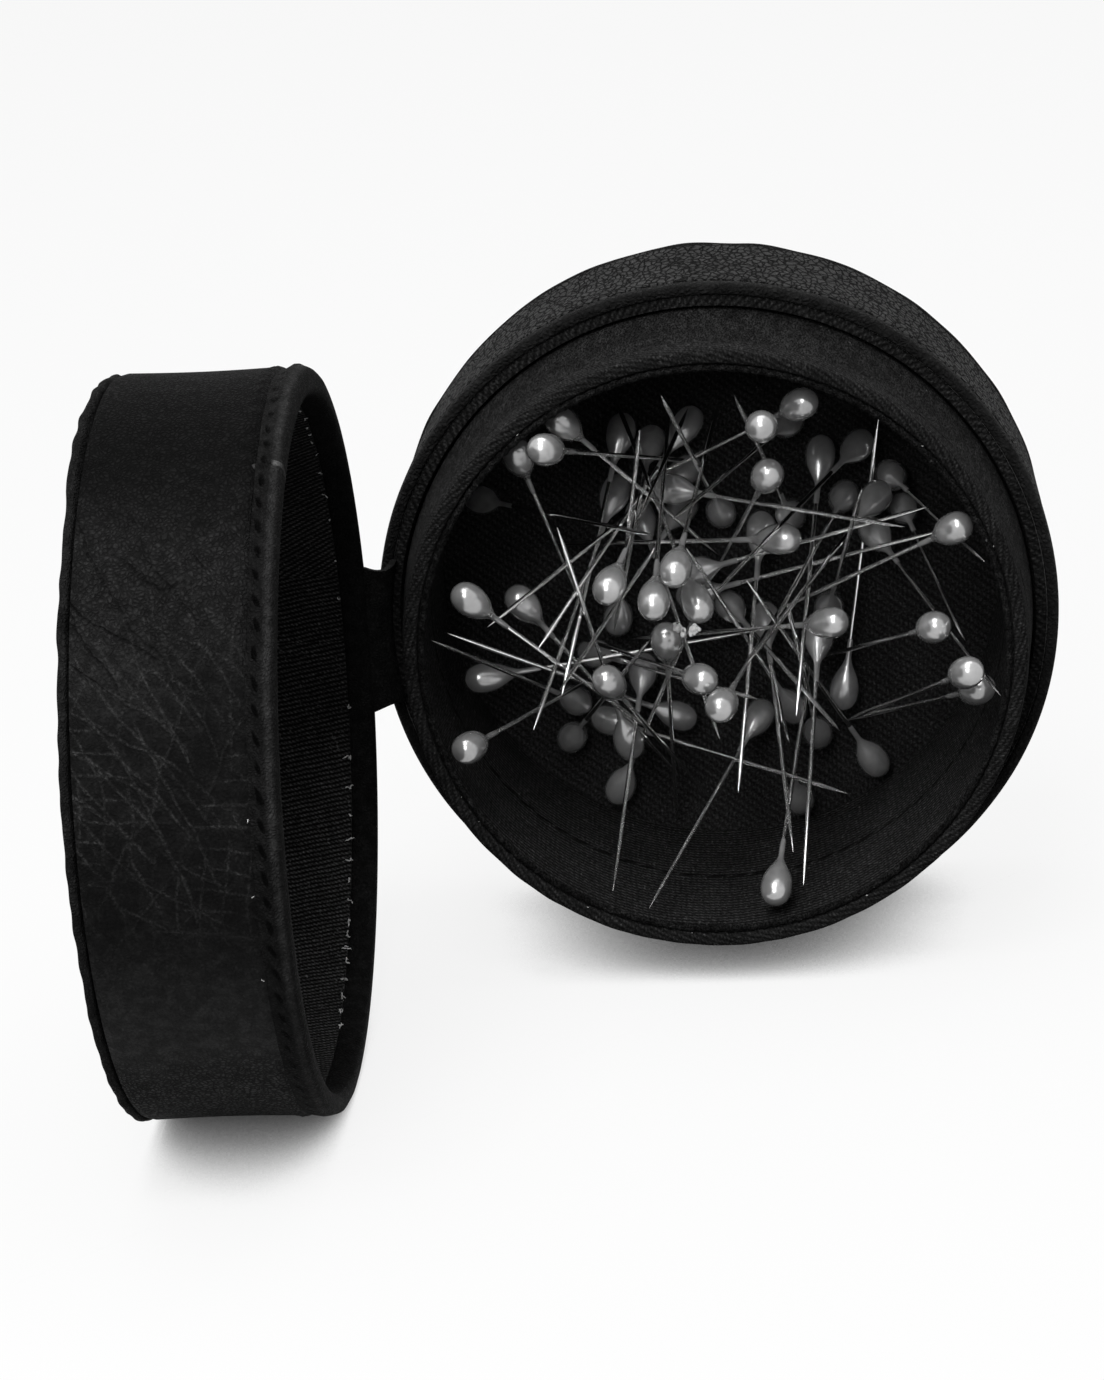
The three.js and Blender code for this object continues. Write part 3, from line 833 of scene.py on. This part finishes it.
# The hinge strap, curved round the joint
STRAP_WIDTH, STRAP_THICK, STRAP_LEAF = 17.5, 0.8, 8
STRAP_RADIUS = OUTER - 1.6
STRAP_OUT = OUTER + 0.4
HINGE = Vector((lid_high.x + RIM * MM, wall_low.y - RIM * MM, base_middle.z))


def make_strap():
    """A curved sheet along the base's wall, round the bend and along the lid's wall."""
    rows, bends, straight = 28, 18, 8
    points, flat = [], []
    stations = [("base", STRAP_LEAF * k / straight) for k in range(straight, 0, -1)]
    stations += [("bend", k / bends * math.pi / 2) for k in range(bends + 1)]
    stations += [("lid", STRAP_LEAF * k / straight) for k in range(1, straight + 1)]
    for side in (-0.5, 0.5):
        radius = STRAP_RADIUS - side * STRAP_THICK
        for i in range(rows + 1):
            across = (i / rows - 0.5) * STRAP_WIDTH
            run = 0.0
            before = None
            for kind, value in stations:
                pinch = 0.07 * math.sin(2 * value) if kind == "bend" else 0
                z = across * (1 - pinch)
                sag = radius - math.sqrt(radius * radius - z * z)
                out = STRAP_OUT - radius + sag
                if kind == "base":
                    x, y = out, value
                elif kind == "bend":
                    x, y = out * math.cos(value), -out * math.sin(value)
                else:
                    x, y = -value, -out
                if before is not None:
                    run += math.dist(before, (x, y))
                before = (x, y)
                points.append(HINGE + Vector((x, y, z)) * MM)
                flat.append((run * MM, z * MM))
    columns = len(stations)
    last = columns - 1

    def at(side, row, column):
        return (side * (rows + 1) + row) * columns + column

    faces = []
    for i in range(rows):
        for j in range(last):
            faces.append((at(0, i, j), at(0, i, j + 1), at(0, i + 1, j + 1), at(0, i + 1, j)))
            faces.append((at(1, i, j), at(1, i + 1, j), at(1, i + 1, j + 1), at(1, i, j + 1)))
        faces.append((at(0, i, 0), at(0, i + 1, 0), at(1, i + 1, 0), at(1, i, 0)))
        faces.append((at(0, i, last), at(1, i, last), at(1, i + 1, last), at(0, i + 1, last)))
    for j in range(last):
        faces.append((at(0, 0, j), at(1, 0, j), at(1, 0, j + 1), at(0, 0, j + 1)))
        faces.append((at(0, rows, j), at(0, rows, j + 1), at(1, rows, j + 1), at(1, rows, j)))
    uvs = [flat[v] for face in faces for v in face]
    strap = mesh_piece("hinge_strap_hide", points, faces, uvs, [edge_hide])
    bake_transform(strap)
    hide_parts("hinge_strap")


make_strap()


# Loose threads and lint
def add_thread(points, faces, start, bends, radius, sides=5):
    """A tube through a few places, in metres, added to a growing mesh."""
    base = len(points)
    for i, spot in enumerate(bends):
        along = (bends[min(i + 1, len(bends) - 1)] - bends[max(i - 1, 0)]).normalized()
        across = along.orthogonal().normalized()
        other = along.cross(across)
        size = radius * (0.35 if i in (0, len(bends) - 1) else 1)
        for j in range(sides):
            turn = 2 * math.pi * j / sides
            points.append(start + spot + (across * math.cos(turn) + other * math.sin(turn)) * size)
    for i in range(len(bends) - 1):
        for j in range(sides):
            k = (j + 1) % sides
            a, b = base + i * sides, base + (i + 1) * sides
            faces.append((a + j, a + k, b + k, b + j))


def frayed(name, places, reach, radius, body, strands, seed):
    """Short curled bits of thread that stand out of a seam at each of some places."""
    luck = np.random.default_rng(seed)
    points, faces = [], []
    for spot in places:
        for _ in range(strands):
            way = Vector(luck.normal(size=3))
            bends = [Vector((0, 0, 0))]
            for _ in range(4):
                way = (way + Vector(luck.normal(size=3)) * 0.9).normalized()
                bends.append(bends[-1] + way * reach * MM * luck.uniform(0.15, 0.35))
            add_thread(points, faces, spot, bends, radius * MM)
    uvs = [(0, 0)] * (4 * len(faces))
    rides(mesh_piece(name, points, faces, uvs, [white_thread]), body, "smooth_cloth")


def ring_places(place, radius, depth, degrees):
    turns = [math.radians(a) for a in degrees]
    return [
        place @ Vector((radius * math.cos(t) * MM, depth * MM, radius * math.sin(t) * MM)) for t in turns
    ]


UPPER_SEAM = (60, 56, 52, 49, 46, 42, 37, 31, 25, 16, 8)
LOWER_SEAM = (-12, -21, -27, -32, -36, -40, -44, -48, -52, -55, -58, -61, -65, -69, -73, -77)
OUTER_SEAM = (172, 183, 197)
BEAD_SEAM = (-152, -146, -118, -97, -61, 20, 44, 128)
SEAM_RADIUS = LID_LINING * FACET
upper_places = ring_places(LID, SEAM_RADIUS - 0.12, 3.2, UPPER_SEAM)
lower_places = ring_places(LID, SEAM_RADIUS - 0.15, 3.2, LOWER_SEAM)
rim_places = ring_places(LID, OUTER - 0.05, 3.3, OUTER_SEAM)
bead_places = ring_places(BASE, MOUTH - 0.1, REACH + 0.1, BEAD_SEAM)
frayed("lid_seam_threads", upper_places, 0.45, 0.055, "lid", 2, 5)
frayed("lid_low_seam_threads", lower_places, 0.8, 0.075, "lid", 3, 6)
frayed("lid_rim_threads", rim_places, 0.5, 0.05, "lid", 1, 8)
frayed("collar_seam_threads", bead_places, 0.3, 0.03, "base", 1, 13)


def seen_at(x, y, depth):
    """The place at a depth of the base, in millimetres, that a pixel of the photograph shows."""
    ray = sight(x, y)
    return EYE + ray * ((BASE.translation.y + depth * MM - EYE.y) / ray.y)


LINT_X, LINT_Y = 687, 630
LINT_DEPTH = -10
lint_places = [
    seen_at(LINT_X + dx, LINT_Y + dy, LINT_DEPTH) for dx, dy in ((-9, -3), (-3, 1), (4, 2), (9, -1))
]
frayed("lint_scrap", lint_places, 0.8, 0.25, "base", 8, 21)


# Pins
PIN_LENGTH = 38
HEAD_LENGTH = 6.9
HEAD_RADIUS = 1.85
PIN_RADIUS = 0.26
SHAFT_END = PIN_LENGTH - HEAD_LENGTH

# Outlines of radius and height in millimetres, the head's as shares of its size
SHAFT_LINE = [
    (0, 0.0), (0.06, 0.4), (0.15, 1.4), (0.22, 2.4), (PIN_RADIUS, 3.6), (PIN_RADIUS, SHAFT_END + 0.6),
]
HEAD_SHAPE = [
    (0.0, 0.2), (0.08, 0.28), (0.17, 0.43), (0.27, 0.63), (0.37, 0.81), (0.47, 0.93), (0.57, 0.99),
    (0.66, 1.0), (0.75, 0.98), (0.83, 0.9), (0.9, 0.77), (0.955, 0.57), (0.99, 0.29), (1.0, 0.0),
]
HEAD_LINE = [(PIN_RADIUS, SHAFT_END - 2.6), (0.33, SHAFT_END - 2.3), (0.36, SHAFT_END - 1.0)]
HEAD_LINE += [(r * HEAD_RADIUS, SHAFT_END + t * HEAD_LENGTH) for t, r in HEAD_SHAPE]


def pin_mesh(sides=20):
    """One pin along +Z with its point at the origin: a ground steel shaft and a coated head."""
    points, faces, uvs, kinds = [], [], [], []
    for kind, line in enumerate((SHAFT_LINE, HEAD_LINE)):
        start = len(points)
        for r, h in line:
            for j in range(sides):
                turn = 2 * math.pi * j / sides
                points.append((r * MM * math.cos(turn), r * MM * math.sin(turn), h * MM))
        for i in range(len(line) - 1):
            for j in range(sides):
                k = (j + 1) % sides
                a, b = start + i * sides, start + (i + 1) * sides
                faces.append((a + j, a + k, b + k, b + j))
                uvs.extend([(0, 0), (1, 0), (1, 1), (0, 1)])
                kinds.append(kind)
    mesh = bpy.data.meshes.new("pin")
    mesh.from_pydata(points, [], faces)
    layer = mesh.uv_layers.new(name="arc")
    layer.data.foreach_set("uv", np.array(uvs, np.float32).ravel())
    mesh.materials.append(pin_steel)
    mesh.materials.append(pin_pearl)
    mesh.polygons.foreach_set("material_index", kinds)
    mesh.polygons.foreach_set("use_smooth", [True] * len(faces))
    return mesh


def put_pin(name, point, head, mesh):
    """A pin from its point to the far end of its head, with its vertices in the part's frame."""
    along = (head - point).normalized()
    turn = along.to_track_quat("Z", "Y").to_matrix().to_4x4()
    own = mesh.copy()
    own.name = name
    own.transform(Matrix.Translation(point) @ turn)
    piece = bpy.data.objects.new(name, own)
    bpy.context.scene.collection.objects.link(piece)
    return piece


def ends_of(node):
    """The point and the head's far end of a pin's solid."""
    places = np.array([v.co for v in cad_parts[node].data.vertices])
    middle = places.mean(axis=0)
    far = places[np.argmax(np.linalg.norm(places - middle, axis=1))]
    other = places[np.argmax(np.linalg.norm(places - far, axis=1))]
    return Vector(far), Vector(other)


one_pin = pin_mesh()
placed = []
for node in sorted(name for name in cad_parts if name.startswith("pin_")):
    point, head = ends_of(node)
    placed.append((point, head))
    rides(put_pin(node + "_fine", point, head, one_pin), "base", "pearl_on_steel", node)


# The photograph shows more pins than the part has nodes for. Each of these rows tells where the
# head and the point are seen, in the photograph's pixels, and which end lies deeper. AT alone isn't
# where it is seen: a search moved it to a free place close by, because it stood in the others.
Seen = namedtuple("Seen", "name head_x head_y point_x point_y deeper")
MORE_PINS = [
    Seen("L", 588, 691, 424, 639, "head"),
    Seen("AE", 861, 453, 717, 604, "head"),
    Seen("BA", 571, 739, 650, 640, "head"),
    Seen("BK", 652, 449, 627, 632, "head"),
    Seen("AH", 878, 505, 760, 650, "head"),
    Seen("AI", 902, 505, 965, 640, "head"),
    Seen("BL", 684, 505, 560, 690, "head"),
    Seen("BM", 650, 512, 720, 740, "head"),
    Seen("AR", 818, 725, 800, 600, "head"),
    Seen("AY", 814, 810, 770, 660, "head"),
    Seen("BG", 607, 622, 640, 430, "head"),
    Seen("BH", 602, 652, 760, 700, "head"),
    Seen("BI", 722, 514, 661, 395, "head"),
    Seen("AF", 845, 494, 775, 607, "head"),
    Seen("U", 668, 478, 905, 527, "head"),
    Seen("V", 690, 585, 928, 531, "head"),
    Seen("AA", 792, 527, 748, 395, "head"),
    Seen("AC", 790, 420, 672, 520, "head"),
    Seen("BF", 703, 690, 575, 636, "point"),
    Seen("AS", 793, 700, 700, 560, "head"),
    Seen("AP", 839, 609, 862, 488, "head"),
    Seen("AL", 984, 689, 833, 723, "point"),
    Seen("BC", 607, 680, 712, 800, "point"),
    Seen("BD", 656, 648, 690, 820, "point"),
    Seen("BJ", 675, 572, 706, 401, "point"),
    Seen("B", 548, 420, 720, 556, "point"),
    Seen("AB", 814, 402, 640, 484, "point"),
    Seen("E", 640, 735, 557, 527, "head"),
    Seen("AT", 717, 604, 840, 731, "head"),
]
PIN_GAP = 0.1
BULB = PIN_LENGTH - HEAD_RADIUS
CAVITY_RADIUS = (MOUTH - 1.0) * FACET
SHUT_LIMIT = -18.5
RODS = (
    (0.0, SHAFT_END, PIN_RADIUS),
    (SHAFT_END, SHAFT_END + 0.32 * HEAD_LENGTH, 0.6 * HEAD_RADIUS),
    (SHAFT_END + 0.55 * HEAD_LENGTH, BULB, HEAD_RADIUS),
)


# The most that a pin may lie over, as a share of its length, and what counts against a try:
# standing in other pins or in the shut lid, standing high, and the head's and the point's shift
MOST_SLANT = 0.97
CROWD_COST, SHUT_COST, HEIGHT_COST, HEAD_COST, POINT_COST = 30, 50, 0.5, 0.4, 0.3


def unit(v):
    return v / np.linalg.norm(v, axis=-1, keepdims=True)


def apart(p, u, q, v):
    """Shortest distance between the lines p to p + u and q to q + v, for many at once."""
    w = p - q
    uu, vv, uv = (u * u).sum(-1), (v * v).sum(-1), (u * v).sum(-1)
    uw, vw = (u * w).sum(-1), (v * w).sum(-1)
    spread = np.maximum(uu * vv - uv * uv, 1e-9)
    s = np.clip((uv * vw - uw * vv) / spread, 0, 1)
    t = np.clip((uv * s + vw) / vv, 0, 1)
    s = np.clip((uv * t - uw) / uu, 0, 1)
    gap = w + s[..., None] * u - t[..., None] * v
    return np.linalg.norm(gap, axis=-1)


def held_in(ends, radius):
    """Ends moved inward where they would stand in the lining."""
    across = np.hypot(ends[:, 0], ends[:, 2])
    limit = CAVITY_RADIUS - radius - PIN_GAP
    share = np.minimum(1, limit / np.maximum(across, 1e-6))
    return np.stack([ends[:, 0] * share, ends[:, 1], ends[:, 2] * share], axis=1)


def crowding(points, heads, laid):
    """How deep each try would stand in the pins that are already there, in millimetres."""
    along = unit(heads - points)
    total = np.zeros(len(points))
    for low, high, radius in RODS:
        p = (points + along * low)[:, None, :]
        u = (along * (high - low))[:, None, :]
        for q, v, other in laid:
            deep = radius + other[None, :] + PIN_GAP - apart(p, u, q[None], v[None])
            total += np.maximum(deep, 0).sum(axis=1)
    return total


def rods_of(point, head):
    """A pin as three rods, each with its start, its run and its radius."""
    along = unit(head - point)
    q = np.array([point + along * low for low, _, _ in RODS])
    v = np.array([along * (high - low) for low, high, _ in RODS])
    return q, v, np.array([radius for _, _, radius in RODS])


def lay_more_pins(laid):
    """Each pin is tried at heights and small shifts near where it is seen, and the try with the
    least crowding, height and shift is kept. All lengths here are millimetres from BASE."""
    back = BASE.inverted()
    eye = np.array(back @ EYE) / MM
    found = []
    side = np.array([-1.2, 0.0, 1.2])
    tilt = np.array([-1.5, 0.0, 1.5])
    heights = np.arange(0, 9, 0.4)
    grid = np.array(np.meshgrid(side, side, tilt, tilt, heights, indexing="ij")).reshape(5, -1).T

    def places(x, y, shift):
        ray = np.array(back.to_3x3() @ sight(x, y))
        hit = eye + ray * ((REACH - eye[1]) / ray[1])
        spot = np.stack([hit[0] + shift[:, 0], np.full(len(shift), hit[1]), hit[2] + shift[:, 1]], 1)
        return unit(spot - eye)

    for pin in MORE_PINS:
        head_ray = places(pin.head_x, pin.head_y, grid[:, 0:2])
        point_ray = places(pin.point_x, pin.point_y, grid[:, 2:4])
        if pin.deeper == "head":
            low_ray, high_ray, low_size, high_size = head_ray, point_ray, HEAD_RADIUS, PIN_RADIUS
        else:
            low_ray, high_ray, low_size, high_size = point_ray, head_ray, PIN_RADIUS, HEAD_RADIUS
        low_y = FLOOR - PIN_GAP - low_size - grid[:, 4]
        low = held_in(eye + low_ray * ((low_y - eye[1]) / low_ray[:, 1])[:, None], low_size)
        nearest = ((low - eye) * high_ray).sum(1)
        miss = np.linalg.norm(eye + high_ray * nearest[:, None] - low, axis=1)
        short = np.sqrt(np.maximum(0, BULB ** 2 - miss ** 2))
        high = held_in(eye + high_ray * (nearest - short)[:, None], high_size)
        run = high[:, [0, 2]] - low[:, [0, 2]]
        reach = np.linalg.norm(run, axis=1)
        run *= np.minimum(1, MOST_SLANT * BULB / np.maximum(reach, 1e-6))[:, None]
        rise = np.sqrt(BULB ** 2 - (run ** 2).sum(1))
        high = np.stack([low[:, 0] + run[:, 0], low[:, 1] - rise, low[:, 2] + run[:, 1]], 1)
        point, head = (high, low) if pin.deeper == "head" else (low, high)
        out = np.maximum(0, SHUT_LIMIT - (high[:, 1] - high_size))
        cost = CROWD_COST * crowding(point, head, laid) + SHUT_COST * out + HEIGHT_COST * grid[:, 4]
        cost += np.abs(grid[:, :2]).sum(1) * HEAD_COST + np.abs(grid[:, 2:4]).sum(1) * POINT_COST
        best = int(np.argmin(cost))
        laid.append(rods_of(point[best], head[best]))
        along = unit(head[best] - point[best])
        found.append((pin.name, point[best], point[best] + along * PIN_LENGTH))
    return found


to_base = BASE.inverted()
laid_rods = [
    rods_of(np.array(to_base @ point) / MM, np.array(to_base @ head) / MM) for point, head in placed
]
for name, point, head in lay_more_pins(laid_rods):
    rides(
        put_pin("pin_more_" + name, BASE @ Vector(point * MM), BASE @ Vector(head * MM), one_pin),
        "base", "pearl_on_steel",
    )

# The solids that stay get their finish
for node, material in (
    ("base_wall_board", greyboard), ("base_end_board", greyboard), ("magnet_spacer", greyboard),
    ("collar_board", greyboard), ("lid_wall_board", greyboard), ("lid_end_board", greyboard),
    ("magnet_disc", ferrite),
):
    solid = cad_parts[node]
    solid.data.materials.clear()
    solid.data.materials.append(material)


# Floor, light and backdrop
FLOOR_SIZE = 3.0
CONTACT_REACH = 0.0165


def make_floor():
    """A pale floor. Its darkness close to what stands on it is the soft shadow there."""
    s = FLOOR_SIZE
    mesh = bpy.data.meshes.new("floor")
    mesh.from_pydata([(-s, -s, 0), (s, -s, 0), (s, s, 0), (-s, s, 0)], [], [(0, 1, 2, 3)])
    floor = bpy.data.objects.new("floor", mesh)
    bpy.context.scene.collection.objects.link(floor)
    f = Finish("floor")
    near = f.add("AmbientOcclusion", samples=8)
    near.inputs["Distance"].default_value = CONTACT_REACH
    open_air = f.ramp(near.outputs["AO"], 0.0, 0.54, 0.01, 0.847)
    glow = f.times(f.on_rays("Is Camera Ray", "Is Glossy Ray"), open_air)
    mesh.materials.append(f.set(
        Base_Color=grey(0.1), Roughness=0.9, Specular_IOR_Level=0.0, Emission_Color=grey(1),
        Emission_Strength=glow,
    ))


def make_world():
    world = bpy.data.worlds.new("studio")
    bpy.context.scene.world = world
    world.use_nodes = True
    nodes = Nodes(world.node_tree)
    back = nodes.tree.nodes["Background"]
    seen = nodes.on_rays("Is Camera Ray", "Is Glossy Ray", "Is Transmission Ray")
    nodes.put(back.inputs["Color"], grey(1))
    nodes.put(back.inputs["Strength"], nodes.ramp(seen, 0.0, 1.0, 0.5, 0.97, "LINEAR"))


def lamp(name, place, target, size, power):
    """A soft lamp that shines at a target. Places and sizes are in metres, power in watts."""
    data = bpy.data.lights.new(name, "AREA")
    data.shape = "RECTANGLE"
    data.size, data.size_y = size
    data.energy = power
    light = bpy.data.objects.new(name, data)
    bpy.context.scene.collection.objects.link(light)
    light.location = place
    light.rotation_mode = "QUATERNION"
    light.rotation_quaternion = (Vector(target) - Vector(place)).to_track_quat("-Z", "Y")


make_floor()
make_world()
lamp("top", (0.0, 0.3, 2.0), (0, 0, 0.03), (1.5, 1.2), 14)
lamp("window", (-0.1, -0.56, 0.38), (0.01, 0.0, 0.04), (0.22, 0.32), 2.0)
lamp("key", (-0.15, -0.45, 0.95), (0.01, 0.0, 0.04), (0.45, 0.45), 5)

bpy.context.scene.view_settings.view_transform = "Standard"
